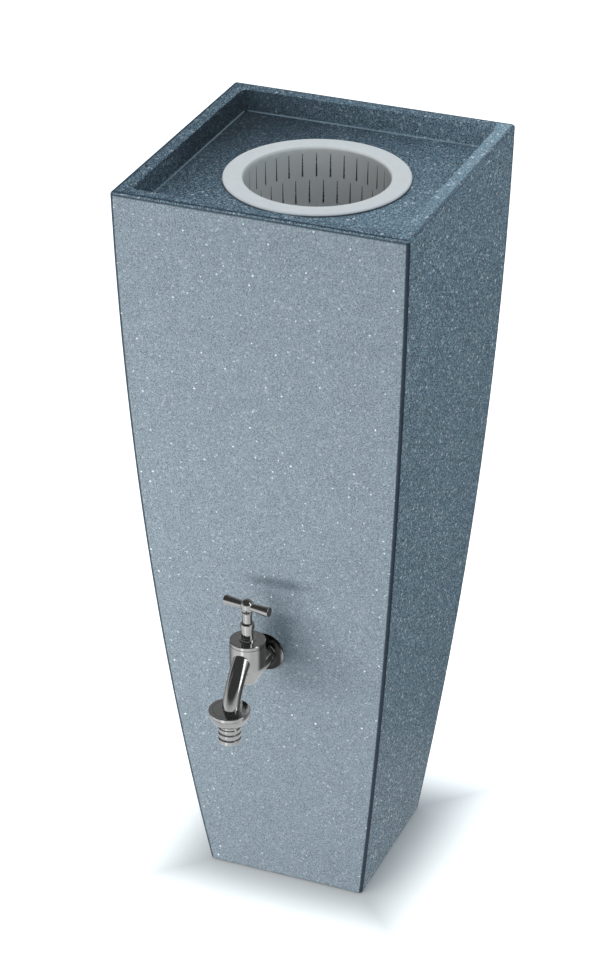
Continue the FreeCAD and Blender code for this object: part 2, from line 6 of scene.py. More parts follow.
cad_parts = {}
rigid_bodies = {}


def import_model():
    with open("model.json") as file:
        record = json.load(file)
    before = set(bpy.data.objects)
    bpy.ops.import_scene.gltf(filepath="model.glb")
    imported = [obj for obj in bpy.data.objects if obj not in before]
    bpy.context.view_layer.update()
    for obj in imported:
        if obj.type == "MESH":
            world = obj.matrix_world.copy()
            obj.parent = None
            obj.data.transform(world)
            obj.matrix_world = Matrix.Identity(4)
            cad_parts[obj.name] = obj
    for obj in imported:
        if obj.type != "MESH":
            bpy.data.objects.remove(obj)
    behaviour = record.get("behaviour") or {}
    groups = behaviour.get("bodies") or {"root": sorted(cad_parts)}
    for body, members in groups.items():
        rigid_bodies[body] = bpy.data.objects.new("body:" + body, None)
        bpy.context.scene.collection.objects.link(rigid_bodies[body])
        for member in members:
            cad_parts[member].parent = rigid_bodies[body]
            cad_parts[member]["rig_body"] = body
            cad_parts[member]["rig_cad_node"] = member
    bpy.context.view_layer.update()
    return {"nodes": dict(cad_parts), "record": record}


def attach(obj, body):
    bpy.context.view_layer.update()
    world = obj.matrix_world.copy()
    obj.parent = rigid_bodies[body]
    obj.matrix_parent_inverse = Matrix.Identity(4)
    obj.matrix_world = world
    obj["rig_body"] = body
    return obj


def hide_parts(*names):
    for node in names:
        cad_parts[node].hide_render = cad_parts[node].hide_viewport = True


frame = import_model()

# Sizes that the finishes and the added pieces follow, in metres
TANK_HEIGHT = 1.0
RIM_WIDTH = 0.38
BASE_WIDTH = 0.2175
SIDE_BULGE = 0.0156
SIDE_EDGE_R = 0.0045
RIM_EDGE_R = 0.0036
RIM_BAND = 0.0195
TRAY_DRAFT = 0.004
TRAY_HALF = RIM_WIDTH / 2.0 - RIM_BAND - TRAY_DRAFT
TRAY_Z = 0.9716
TRAY_FLOOR_R = 0.003
RING_TOP = 0.9756
RING_R = 0.1158
CUP_R = 0.0900
CUP_FOOT_R = 0.0880
CUP_FOOT = 0.8536
CUP_WALL = 0.0022
SLOT_TOP = RING_TOP - 0.010

# The screw threads of the outlet and the union nut, in metres
OUTLET_THREAD_R = 0.0166
OUTLET_CORE_R = 0.0153
OUTLET_FOOT = 0.3525
OUTLET_COLLAR = 0.3604
NUT_THREAD_R = 0.0167
NUT_THREAD_FOOT = 0.3508
NUT_THREAD_HEAD = 0.3598
THREAD_PITCH = 0.002309

# Places this near the rim's top or a side's face count as lying on it, in metres
RIM_SKIN = 0.0008
SIDE_SKIN = 0.0012

# Painted light and shade in the tray: its tone at its middle, for each metre to the right and to the
# back, and of two walls
TRAY_TONE = 0.62
TRAY_TONE_RIGHT = 1.9
TRAY_TONE_BACK = 1.6
BACK_WALL_TONE = 0.15
LEFT_WALL_TONE = -0.12

# Painted light and shade on the rim: its tone at its middle and for each metre to the right, and the
# painted sheen that its right side adds
RIM_TONE = 0.66
RIM_TONE_ACROSS = 0.55
RIM_RIGHT_TONE = 0.54
RIM_RIGHT_TONE_BACK = 1.55

# The painted tones of the tray and the rim stay within these limits
LOWEST_TONE = 0.16
HIGHEST_TONE = 1.6

# Greys of the tank's plastic under its speckle. The front's own grey is painted sheen: one plastic
# given a second colour on its lit front
SIDE_GREY = (0.207, 0.288, 0.347, 1.0)
FRONT_GREY = (0.193, 0.240, 0.281, 1.0)

# Flecks of the tank's plastic, the lowest first: cell and radius in metres, share of the cells
# that have one, greatest strength, and colour
TANK_FLECKS = (
    (0.0038, 0.0014, 0.70, 0.80, (0.055, 0.090, 0.125, 1.0)),
    (0.0034, 0.0012, 0.60, 0.90, (0.60, 0.68, 0.74, 1.0)),
    (0.0070, 0.0018, 0.85, 1.00, (1.0, 1.0, 1.0, 1.0)),
    (0.0038, 0.0012, 0.75, 1.00, (0.85, 0.92, 0.96, 1.0)),
)

# Painted shade at the tank's corners, rim rounding, shade lines and foot, and a painted highlight at
# the tray's foot: where, how strongly, and towards which colour
TANK_SHADES = (
    ("Corner", 0.90, (0.010, 0.024, 0.043, 1.0)),
    ("Rounding", 0.45, (0.050, 0.080, 0.105, 1.0)),
    ("Crease", 0.95, (0.022, 0.040, 0.060, 1.0)),
    ("Foot", 0.70, (0.03, 0.05, 0.07, 1.0)),
    ("Tray foot", 0.40, (0.45, 0.55, 0.62, 1.0)),
)

# The speckle's grains are this much longer from front to back than they are wide. The pattern
# that they come from is turned about X, Y and Z by these angles, in radians
GRAIN_STRETCH = 1.35
GRAIN_TURN = (0.61, 0.47, 0.83)

# The camera of the photograph: its bearing, rise and roll in degrees, lens in millimetres, place
CAMERA_BEARING = 21.9977
CAMERA_RISE = 28.9591
CAMERA_ROLL = 0.0253
CAMERA_LENS = 117.60
CAMERA_PLACE = (1.30899, -3.27013, 2.50079)

# The mirrored floor's bearings are taken from a place this far along Y, near the tap
MIRROR_Y = -0.2

# Whites of the studio and of its lamps
WHITE = (1.0, 1.0, 1.0, 1.0)
WARM_WHITE = (1.0, 0.955, 0.90)

# The circle that each side of the tank follows
chord_run = (RIM_WIDTH - BASE_WIDTH) / 2.0
chord = math.hypot(chord_run, TANK_HEIGHT)
SIDE_RADIUS = (chord * chord / 4.0 + SIDE_BULGE * SIDE_BULGE) / (2.0 * SIDE_BULGE)
chord_slope = math.atan2(chord_run, TANK_HEIGHT)
SIDE_CENTRE = (RIM_WIDTH + BASE_WIDTH) / 4.0 - (SIDE_RADIUS - SIDE_BULGE) * math.cos(chord_slope)
SIDE_CENTRE_Z = TANK_HEIGHT / 2.0 + (SIDE_RADIUS - SIDE_BULGE) * math.sin(chord_slope)


# Node helpers

def node(tree, kind, **inputs):
    """Adds a node and sets its sockets by name, from numbers, colours or other sockets."""
    made = tree.nodes.new(kind)
    for name, value in inputs.items():
        put(tree, made.inputs[name.replace("_", " ")], value)
    return made


def put(tree, socket, value):
    """Links a socket to another one, or sets it to a plain value."""
    if isinstance(value, bpy.types.NodeSocket):
        tree.links.new(value, socket)
    elif value is not None:
        socket.default_value = value


def sums(tree, operation, first, second=None, third=None):
    """One Math node."""
    made = tree.nodes.new("ShaderNodeMath")
    made.operation = operation
    for socket, value in zip(made.inputs, (first, second, third)):
        put(tree, socket, value)
    return made.outputs[0]


def shift(tree, operation, first, second):
    """One Vector Math node."""
    made = tree.nodes.new("ShaderNodeVectorMath")
    made.operation = operation
    put(tree, made.inputs[0], first)
    put(tree, made.inputs["Scale" if operation == "SCALE" else 1], second)
    return made.outputs[0]


def fade(tree, value, low, high, at_low=0.0, at_high=1.0):
    """A smooth step of a value between two limits."""
    made = tree.nodes.new("ShaderNodeMapRange")
    made.interpolation_type = "SMOOTHSTEP"
    for name, number in (("Value", value), ("From Min", low), ("From Max", high),
                         ("To Min", at_low), ("To Max", at_high)):
        put(tree, made.inputs[name], number)
    return made.outputs["Result"]


def product(tree, first, *others):
    """Several values multiplied together."""
    for other in others:
        first = sums(tree, "MULTIPLY", first, other)
    return first


def gap_to(tree, value, mark):
    """How far a value is from a mark, to either side."""
    return sums(tree, "ABSOLUTE", sums(tree, "SUBTRACT", value, mark))


def blend(tree, share, first, second, kind="MIX"):
    """Mixes two colours by a share."""
    made = tree.nodes.new("ShaderNodeMix")
    made.data_type = "RGBA"
    made.blend_type = kind
    put(tree, made.inputs[0], share)
    put(tree, made.inputs[6], first)
    put(tree, made.inputs[7], second)
    return made.outputs[2]


def group(name, numbers, outputs):
    """An empty node group with named numbers as its inputs and outputs."""
    tree = bpy.data.node_groups.new(name, "ShaderNodeTree")
    for label, value in numbers:
        socket = tree.interface.new_socket(name=label, in_out="INPUT", socket_type="NodeSocketFloat")
        socket.default_value = value
    for label in outputs:
        tree.interface.new_socket(name=label, in_out="OUTPUT", socket_type="NodeSocketFloat")
    start = tree.nodes.new("NodeGroupInput")
    end = tree.nodes.new("NodeGroupOutput")
    return tree, start, end


def use(tree, made, **inputs):
    """Places a node group in a material and sets its inputs."""
    placed = tree.nodes.new("ShaderNodeGroup")
    placed.node_tree = made
    for name, value in inputs.items():
        put(tree, placed.inputs[name], value)
    return placed.outputs


def place_on_piece(tree):
    """Places on the piece, which are also places in the object's own frame."""
    return tree.nodes.new("ShaderNodeTexCoord").outputs["Object"]


def place_parts(tree):
    """The X, Y and Z of the places on the piece."""
    split = tree.nodes.new("ShaderNodeSeparateXYZ")
    put(tree, split.inputs[0], place_on_piece(tree))
    return split.outputs[0], split.outputs[1], split.outputs[2]


def place_in_grain(tree):
    """Places on the piece, drawn together from front to back, which stretches the grains that way,
    and turned askew, so that no layer of the grain lies along a face."""
    drawn = shift(tree, "MULTIPLY", place_on_piece(tree), (1.0, 1.0 / GRAIN_STRETCH, 1.0))
    turned = tree.nodes.new("ShaderNodeVectorRotate")
    turned.rotation_type = "EULER_XYZ"
    turned.inputs["Rotation"].default_value = GRAIN_TURN
    put(tree, turned.inputs["Vector"], drawn)
    return turned.outputs[0]


# Effects that several finishes share

def make_flecks():
    """Ragged flecks strewn through the material: cell size and radius in metres, share from 0 to 1."""
    tree, start, end = group("flecks", [("Cell", 0.008), ("Radius", 0.001), ("Share", 0.5)], ["Mask"])
    size = sums(tree, "DIVIDE", 1.0, start.outputs["Cell"])
    place = place_in_grain(tree)

    # A small noise moves the places about, so that the flecks have ragged edges
    wander = node(tree, "ShaderNodeTexNoise", Vector=place, Detail=1.0,
                  Scale=sums(tree, "DIVIDE", 0.9, start.outputs["Radius"]))
    centred = shift(tree, "SUBTRACT", wander.outputs["Color"], (0.5, 0.5, 0.5))
    ragged = shift(tree, "ADD", place, shift(tree, "SCALE", centred, sums(
        tree, "MULTIPLY", start.outputs["Radius"], 2.2)))

    # Some of the cells have a fleck, each of its own size and brightness
    cells = node(tree, "ShaderNodeTexVoronoi", Vector=ragged, Scale=size)
    chance = tree.nodes.new("ShaderNodeSeparateColor")
    put(tree, chance.inputs[0], cells.outputs["Color"])
    kept = sums(tree, "LESS_THAN", chance.outputs[0], start.outputs["Share"])
    grown = fade(tree, chance.outputs[1], 0.0, 1.0, 0.55, 1.25)
    radius = product(tree, start.outputs["Radius"], size, grown)
    inner = sums(tree, "MULTIPLY", radius, 0.7)
    spot = fade(tree, cells.outputs["Distance"], inner, radius, 1.0, 0.0)
    bright = fade(tree, chance.outputs[2], 0.0, 1.0, 0.5, 1.0)
    put(tree, end.inputs["Mask"], product(tree, spot, bright, kept))
    return tree


def make_mottle():
    """Cloudy variation around 1: feature size in metres and how far it swings."""
    tree, start, end = group("mottle", [("Size", 0.003), ("Swing", 0.1)], ["Value"])
    size = sums(tree, "DIVIDE", 1.0, start.outputs["Size"])
    cloud = node(tree, "ShaderNodeTexNoise", Vector=place_in_grain(tree), Scale=size,
                 Detail=2.0, Roughness=0.6)

    # The noise stays mostly within a quarter to either side of its middle
    swing = sums(tree, "MULTIPLY", start.outputs["Swing"], 4.0)
    centred = sums(tree, "SUBTRACT", cloud.outputs["Fac"], 0.5)
    put(tree, end.inputs["Value"], sums(tree, "MULTIPLY_ADD", centred, swing, 1.0))
    return tree


def make_grain():
    """Height of a moulded or cast skin: fine grain on a slow wave, sizes in metres."""
    tree, start, end = group("grain", [("Fine", 0.0012), ("Coarse", 0.006), ("Fine share", 0.4)],
                             ["Height"])
    place = place_on_piece(tree)
    fine = node(tree, "ShaderNodeTexNoise", Vector=place,
                Scale=sums(tree, "DIVIDE", 1.0, start.outputs["Fine"]), Detail=3.0)
    coarse = node(tree, "ShaderNodeTexNoise", Vector=place,
                  Scale=sums(tree, "DIVIDE", 1.0, start.outputs["Coarse"]), Detail=1.0)
    mixed = tree.nodes.new("ShaderNodeMix")
    put(tree, mixed.inputs[0], start.outputs["Fine share"])
    put(tree, mixed.inputs[2], coarse.outputs["Fac"])
    put(tree, mixed.inputs[3], fine.outputs["Fac"])
    put(tree, end.inputs["Height"], mixed.outputs[0])
    return tree


def side_half(tree, z):
    """Half the tank's width at a height, from the circle that its sides follow."""
    rise = sums(tree, "SUBTRACT", z, SIDE_CENTRE_Z)
    squared = sums(tree, "SUBTRACT", SIDE_RADIUS ** 2, product(tree, rise, rise))
    return sums(tree, "ADD", sums(tree, "SQRT", squared), SIDE_CENTRE)


def tray_painted_shading(tree, x, y, back_wall, left_wall):
    """Painted shade in the tray, darker towards its left and its back. Its back wall has painted light
    on it, and its left wall more painted shade."""
    sideways = sums(tree, "MULTIPLY_ADD", x, TRAY_TONE_RIGHT, TRAY_TONE)
    tone = sums(tree, "MULTIPLY_ADD", y, -TRAY_TONE_BACK, sideways)
    tone = sums(tree, "MULTIPLY_ADD", left_wall, LEFT_WALL_TONE, tone)
    return sums(tree, "MULTIPLY_ADD", back_wall, BACK_WALL_TONE, tone)


def rim_painted_shading(tree, x, y):
    """Painted light and shade on the rim, lighter towards its right, with a painted sheen on its right
    side that is strongest at the back.
    """
    on_right = fade(tree, x, TRAY_HALF - 0.002, TRAY_HALF + 0.008)
    added = sums(tree, "MULTIPLY_ADD", y, RIM_RIGHT_TONE_BACK, RIM_RIGHT_TONE)
    across = sums(tree, "MULTIPLY_ADD", x, RIM_TONE_ACROSS, RIM_TONE)
    return sums(tree, "ADD", product(tree, on_right, added), across)


def make_shell_places():
    """Masks of painted light on the tank: shade at the corners, shade lines and rounding of the rim, a
    highlight at the foot of the tray's walls, sheen on the front, and shade at the foot. Also the
    painted light and shade of the tray and the rim, and how strong the speckle is there."""
    tree, start, end = group("shell_places", [("Crease", 0.001)],
                             ["Corner", "Crease", "Rounding", "Tray foot", "Top painted shading", "Speckle",
                              "Front", "Foot"])
    x, y, z = place_parts(tree)
    off_x = sums(tree, "ABSOLUTE", x)
    off_y = sums(tree, "ABSOLUTE", y)
    half = side_half(tree, z)
    in_x = sums(tree, "SUBTRACT", half, off_x)
    in_y = sums(tree, "SUBTRACT", half, off_y)
    nearest = sums(tree, "MINIMUM", in_x, in_y)
    farthest = sums(tree, "MAXIMUM", in_x, in_y)
    on_rim = sums(tree, "GREATER_THAN", z, TANK_HEIGHT - RIM_SKIN)
    below_rim = fade(tree, z, TANK_HEIGHT - RIM_EDGE_R, TANK_HEIGHT - 0.4 * RIM_EDGE_R, 1.0, 0.0)

    # Painted shade on the rounded upright corners, wider at the tank's back
    band = fade(tree, y, -0.05, 0.05, 1.1 * SIDE_EDGE_R, 2.2 * SIDE_EDGE_R)
    corner = fade(tree, farthest, 0.75 * SIDE_EDGE_R, band, 1.0, 0.0)
    put(tree, end.inputs["Corner"], product(tree, corner, below_rim))

    # Painted shade lines at both edges of the rim's rounding, one on the side and one on the rim, both
    # faint on the right
    width = start.outputs["Crease"]
    on_side = sums(tree, "LESS_THAN", nearest, SIDE_SKIN)
    side_line = fade(tree, gap_to(tree, z, TANK_HEIGHT - RIM_EDGE_R), 0.0, width, 1.0, 0.0)
    top_line = fade(tree, gap_to(tree, nearest, RIM_EDGE_R), 0.0, width, 1.0, 0.0)
    lines = sums(tree, "MAXIMUM", product(tree, side_line, on_side), product(tree, top_line, on_rim))
    from_right = sums(tree, "SUBTRACT", half, x)
    faint = fade(tree, sums(tree, "SUBTRACT", in_y, from_right), -0.002, 0.002, 1.0, 0.15)
    put(tree, end.inputs["Crease"], product(tree, lines, faint))
    # Painted shade on the rim's rounding
    near_edge = fade(tree, nearest, 0.8 * RIM_EDGE_R, RIM_EDGE_R, 1.0, 0.0)
    near_top = fade(tree, z, TANK_HEIGHT - RIM_EDGE_R, TANK_HEIGHT - 0.8 * RIM_EDGE_R)
    put(tree, end.inputs["Rounding"], product(tree, near_edge, near_top))

    # A painted highlight on the rounded foot of the tray's walls
    off_centre = sums(tree, "MAXIMUM", off_x, off_y)
    low = fade(tree, z, TRAY_Z + 0.45 * TRAY_FLOOR_R, TRAY_Z + 0.75 * TRAY_FLOOR_R, 1.0, 0.0)
    above = sums(tree, "GREATER_THAN", z, TRAY_Z - 0.0005)
    out = fade(tree, off_centre, TRAY_HALF - 0.55 * TRAY_FLOOR_R, TRAY_HALF - 0.35 * TRAY_FLOOR_R)
    inside = sums(tree, "LESS_THAN", off_centre, TRAY_HALF + 0.003)
    put(tree, end.inputs["Tray foot"], product(tree, low, above, out, inside))

    # Painted light and shade of the tray and the rim, and their speckle: the speckle is fainter where
    # the
    #     painted light is strong, and on the tray's back wall
    in_tray = product(tree, above, sums(tree, "LESS_THAN", off_centre, TRAY_HALF + 0.006))
    on_top = sums(tree, "MAXIMUM", on_rim, in_tray)
    under_rim = sums(tree, "SUBTRACT", 1.0, on_rim)
    left_wall = product(tree, under_rim, sums(tree, "LESS_THAN", x, 0.001 - TRAY_HALF))
    back_wall = product(tree, under_rim, sums(tree, "GREATER_THAN", y, TRAY_HALF - 0.001))
    tone = fade(tree, on_rim, 0.0, 1.0, tray_painted_shading(tree, x, y, back_wall, left_wall),
                rim_painted_shading(tree, x, y))
    held = sums(tree, "MINIMUM", sums(tree, "MAXIMUM", tone, LOWEST_TONE), HIGHEST_TONE)
    put(tree, end.inputs["Top painted shading"], fade(tree, on_top, 0.0, 1.0, 1.0, held))
    calmed = product(tree, fade(tree, held, 0.6, 1.3, 1.0, 0.50),
                     fade(tree, back_wall, 0.0, 1.0, 1.0, 0.6))
    put(tree, end.inputs["Speckle"], fade(tree, on_top, 0.0, 1.0, 1.0, calmed))

    # The front, which takes its own grey and fainter speckle as painted sheen
    behind_front = sums(tree, "ADD", half, y)
    front = fade(tree, behind_front, 0.002, 0.005, 1.0, 0.0)
    put(tree, end.inputs["Front"], product(tree, front, below_rim))
    # Painted shade along the tank's foot
    put(tree, end.inputs["Foot"], fade(tree, z, 0.0005, 0.004, 1.0, 0.0))
    return tree


FLECKS = make_flecks()
MOTTLE = make_mottle()
GRAIN = make_grain()
SHELL_PLACES = make_shell_places()


# Finishes

def material(name, **constants):
    """A material with one Principled shader, its plain values set on the shader's own sockets."""
    made = bpy.data.materials.new(name)
    made.use_nodes = True
    tree = made.node_tree
    shader = tree.nodes["Principled BSDF"]
    for label, value in constants.items():
        shader.inputs[label.replace("_", " ")].default_value = value
    return made, tree, shader


def bump(tree, shader, height, depth, strength=1.0):
    """Feeds a height in metres of depth into the shader's normal."""
    made = tree.nodes.new("ShaderNodeBump")
    made.inputs["Strength"].default_value = strength
    made.inputs["Distance"].default_value = depth
    put(tree, made.inputs["Height"], height)
    put(tree, shader.inputs["Normal"], made.outputs["Normal"])


def tone_colour(tree, tone):
    """A tone as a grey."""
    made = tree.nodes.new("ShaderNodeCombineColor")
    for socket in made.inputs:
        put(tree, socket, tone)
    return made.outputs[0]


def bluer_shade(tree, tone):
    """A tone as a colour that turns bluer where it is darker."""
    made = tree.nodes.new("ShaderNodeCombineColor")
    for socket, power in zip(made.inputs, (1.12, 1.0, 0.93)):
        put(tree, socket, sums(tree, "POWER", tone, power))
    return made.outputs[0]


def tinted(tree, colour, tone):
    """A colour made darker or lighter by a tone."""
    return blend(tree, 1.0, colour, tone_colour(tree, tone), "MULTIPLY")


def lessened(tree, value, share):
    """A variation around 1, at a share of its swing."""
    return sums(tree, "ADD", product(tree, sums(tree, "SUBTRACT", value, 1.0), share), 1.0)


def tank_plastic():
    """Satin grey-blue moulded plastic with granite speckle, with painted shade, highlights and sheen
    on its corners, rim, tray, front and foot.
    """
    made, tree, shader = material("tank_plastic", Specular_IOR_Level=0.3)
    places = use(tree, SHELL_PLACES, Crease=0.0024)
    # Fainter speckle and a grey of its own on the front are painted sheen
    cloud_depth = fade(tree, places["Front"], 0.0, 1.0, places["Speckle"], 0.30)
    fleck_depth = fade(tree, places["Front"], 0.0, 1.0, places["Speckle"], 0.15)
    fine = use(tree, MOTTLE, Size=0.0025, Swing=0.45)["Value"]
    broad = use(tree, MOTTLE, Size=0.03, Swing=0.05)["Value"]
    grit = use(tree, MOTTLE, Size=0.0013, Swing=2.60)["Value"]
    gritty = sums(tree, "MAXIMUM", lessened(tree, grit, cloud_depth), 0.1)
    tone = product(tree, lessened(tree, fine, cloud_depth), broad, gritty)
    ground = blend(tree, places["Front"], SIDE_GREY, FRONT_GREY)
    speckled = tinted(tree, ground, tone)
    for cell, radius, share, strength, colour in TANK_FLECKS:
        mask = use(tree, FLECKS, Cell=cell, Radius=radius, Share=share)["Mask"]
        speckled = blend(tree, product(tree, mask, strength, fleck_depth), speckled, colour)
    spark = use(tree, FLECKS, Cell=0.0105, Radius=0.0012, Share=0.85)["Mask"]
    speckled = blend(tree, product(tree, spark, 0.9), speckled, (0.90, 0.93, 0.95, 1.0))
    # Painted light and shade on the tray and the rim, then the painted shade and highlight of
    # TANK_SHADES
    shaded = blend(tree, 1.0, speckled, bluer_shade(tree, places["Top painted shading"]), "MULTIPLY")
    for place, strength, colour in TANK_SHADES:
        shaded = blend(tree, product(tree, places[place], strength), shaded, colour)
    put(tree, shader.inputs["Base Color"], shaded)
    put(tree, shader.inputs["Roughness"], fade(tree, fine, 0.6, 1.4, 0.42, 0.58))
    bump(tree, shader, use(tree, GRAIN, Fine=0.0014, Coarse=0.005)["Height"], 0.00025, 0.6)
    return made


def basket_plastic():
    """Light grey moulded plastic with a fine matt skin, with painted shade in the cup and in its slots
    and a painted shadow under the ring's edge.
    """
    made, tree, shader = material("basket_plastic", Specular_IOR_Level=0.35)
    x, y, z = place_parts(tree)
    tone = use(tree, MOTTLE, Size=0.012, Swing=0.03)["Value"]
    ring = tinted(tree, (0.99, 0.93, 0.89, 1.0), tone)
    # The cup's inside has painted shade, darker towards the right
    cup = tinted(tree, (1.04, 1.0, 0.965, 1.0), fade(tree, x, -0.095, 0.095, 0.70, 0.37))
    sunken = fade(tree, z, RING_TOP - 0.0045, RING_TOP - 0.0015, 1.0, 0.0)
    shaped = blend(tree, sunken, ring, cup)

    # A painted shadow: a dark line where the ring's edge meets the tray
    away = sums(tree, "SQRT", sums(tree, "MULTIPLY_ADD", x, x, product(tree, y, y)))
    under_edge = product(tree, fade(tree, z, TRAY_Z + 0.0012, TRAY_Z + 0.0024, 1.0, 0.0),
                         sums(tree, "GREATER_THAN", away, RING_R - 0.0006))
    shaped = blend(tree, under_edge, shaped, (0.10, 0.12, 0.14, 1.0))

    # Painted shade on the sides of the slots, within the cup's wall
    into_wall = sums(tree, "SUBTRACT", away, fade(tree, z, CUP_FOOT, RING_TOP, CUP_FOOT_R, CUP_R))
    slot = product(tree, fade(tree, into_wall, 0.0002, 0.0005),
                   fade(tree, into_wall, CUP_WALL - 0.0005, CUP_WALL - 0.0002, 1.0, 0.0),
                   sums(tree, "LESS_THAN", z, SLOT_TOP))
    put(tree, shader.inputs["Base Color"], blend(tree, slot, shaped, (0.02, 0.022, 0.025, 1.0)))
    put(tree, shader.inputs["Roughness"], fade(tree, tone, 0.9, 1.1, 0.40, 0.52))
    bump(tree, shader, use(tree, GRAIN, Fine=0.0008, Coarse=0.004)["Height"], 0.00012, 0.5)
    return made


def chrome(name="chrome", axis=1, start=-0.190, end=-0.172, bright=0.62, tone_at_end=0.24):
    """Polished chrome plate, slightly wavy. Its base colour carries painted shade and light along one
    axis, by default a painted shade towards the tank."""
    made, tree, shader = material(name, Metallic=1.0)
    tone = use(tree, MOTTLE, Size=0.010, Swing=0.03)["Value"]
    # Painted shade and light along one axis
    along = fade(tree, place_parts(tree)[axis], start, end, bright, tone_at_end)
    plate = tinted(tree, (0.985, 1.0, 1.005, 1.0), product(tree, tone, along))
    put(tree, shader.inputs["Base Color"], plate)
    smear = use(tree, MOTTLE, Size=0.006, Swing=0.25)["Value"]
    put(tree, shader.inputs["Roughness"], fade(tree, smear, 0.6, 1.4, 0.05, 0.13))
    bump(tree, shader, use(tree, GRAIN, Fine=0.002, Coarse=0.011)["Height"], 0.00006, 1.0)
    return made


def brass():
    """Machined brass with faint turning marks."""
    made, tree, shader = material("brass", Metallic=1.0)
    tone = use(tree, MOTTLE, Size=0.004, Swing=0.08)["Value"]
    put(tree, shader.inputs["Base Color"], tinted(tree, (0.72, 0.52, 0.25, 1.0), tone))
    put(tree, shader.inputs["Roughness"], fade(tree, tone, 0.8, 1.2, 0.22, 0.38))
    bump(tree, shader, use(tree, GRAIN, Fine=0.0005, Coarse=0.003)["Height"], 0.00004, 1.0)
    return made


def rubber():
    """Black seal rubber with a powdery skin."""
    made, tree, shader = material("rubber", Specular_IOR_Level=0.4)
    tone = use(tree, MOTTLE, Size=0.003, Swing=0.2)["Value"]
    put(tree, shader.inputs["Base Color"], tinted(tree, (0.028, 0.029, 0.031, 1.0), tone))
    put(tree, shader.inputs["Roughness"], fade(tree, tone, 0.7, 1.3, 0.62, 0.8))
    bump(tree, shader, use(tree, GRAIN, Fine=0.0006, Coarse=0.003)["Height"], 0.0001, 0.7)
    return made


def fibre():
    """Dark red-brown pressed fibre of the bonnet's sealing ring."""
    made, tree, shader = material("fibre", Specular_IOR_Level=0.3)
    tone = use(tree, MOTTLE, Size=0.0012, Swing=0.3)["Value"]
    put(tree, shader.inputs["Base Color"], tinted(tree, (0.115, 0.070, 0.052, 1.0), tone))
    put(tree, shader.inputs["Roughness"], fade(tree, tone, 0.6, 1.4, 0.7, 0.9))
    bump(tree, shader, use(tree, GRAIN, Fine=0.0004, Coarse=0.0015)["Height"], 0.0001, 0.8)
    return made


def packing():
    """White waxed packing cord of the gland."""
    made, tree, shader = material("packing", Specular_IOR_Level=0.4)
    tone = use(tree, MOTTLE, Size=0.0015, Swing=0.12)["Value"]
    put(tree, shader.inputs["Base Color"], tinted(tree, (0.74, 0.72, 0.66, 1.0), tone))
    put(tree, shader.inputs["Roughness"], fade(tree, tone, 0.8, 1.2, 0.45, 0.65))
    bump(tree, shader, use(tree, GRAIN, Fine=0.0005, Coarse=0.0012)["Height"], 0.0002, 0.8)
    return made


finish_for = {
    "tank_plastic": tank_plastic(),
    "basket_plastic": basket_plastic(),
    "chrome": chrome(),
    "brass": brass(),
    "rubber": rubber(),
    "fibre": fibre(),
    "packing": packing(),
}


# Pieces

def clear_selection():
    """Leaves edit mode and deselects everything."""
    if bpy.context.object and bpy.context.object.mode != "OBJECT":
        bpy.ops.object.mode_set(mode="OBJECT")
    bpy.ops.object.select_all(action="DESELECT")


def take(piece):
    """Selects one object alone and makes it the active one."""
    clear_selection()
    piece.select_set(True)
    bpy.context.view_layer.objects.active = piece


def coat(piece, finish):
    """Gives a piece one finish all over."""
    piece.data.materials.clear()
    piece.data.materials.append(finish)


def smooth_copy(node_name, body, slot, angle=32.0):
    """The solid's own form with its facets joined and shaded smooth up to its true edges."""
    piece = frame["nodes"][node_name].copy()
    piece.data = piece.data.copy()
    piece.name = node_name + "_finished"
    piece.parent = None
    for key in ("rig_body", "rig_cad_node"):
        if key in piece:
            del piece[key]
    bpy.context.scene.collection.objects.link(piece)
    take(piece)
    bpy.ops.object.mode_set(mode="EDIT")
    bpy.ops.mesh.select_all(action="SELECT")
    bpy.ops.mesh.remove_doubles(threshold=2e-6)
    bpy.ops.object.mode_set(mode="OBJECT")
    bpy.ops.mesh.customdata_custom_splitnormals_clear()
    bpy.ops.object.shade_smooth_by_angle(angle=math.radians(angle))
    even = piece.modifiers.new("even_shading", "WEIGHTED_NORMAL")
    even.keep_sharp = True
    even.weight = 60
    bpy.ops.object.modifier_apply(modifier=even.name)
    coat(piece, finish_for[slot])
    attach(piece, body)
    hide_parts(node_name)
    return piece


def joint_place(name):
    """Where a joint's axis stands, seen from above."""
    joints = frame["record"]["behaviour"]["joints"]
    return Vector(next(joint["pos_m"] for joint in joints if joint["name"] == name)[:2])


def narrow_outlet(body_copy, axis):
    """Takes the outlet's plain cylinder in to the core of its screw thread."""
    for vertex in body_copy.data.vertices:
        out = Vector(vertex.co[:2]) - axis
        level = OUTLET_FOOT - 0.0001 < vertex.co.z < OUTLET_COLLAR + 0.0001
        if level and abs(out.length - OUTLET_THREAD_R) < 0.0002:
            out = out.normalized() * OUTLET_CORE_R
            vertex.co.x = axis.x + out.x
            vertex.co.y = axis.y + out.y


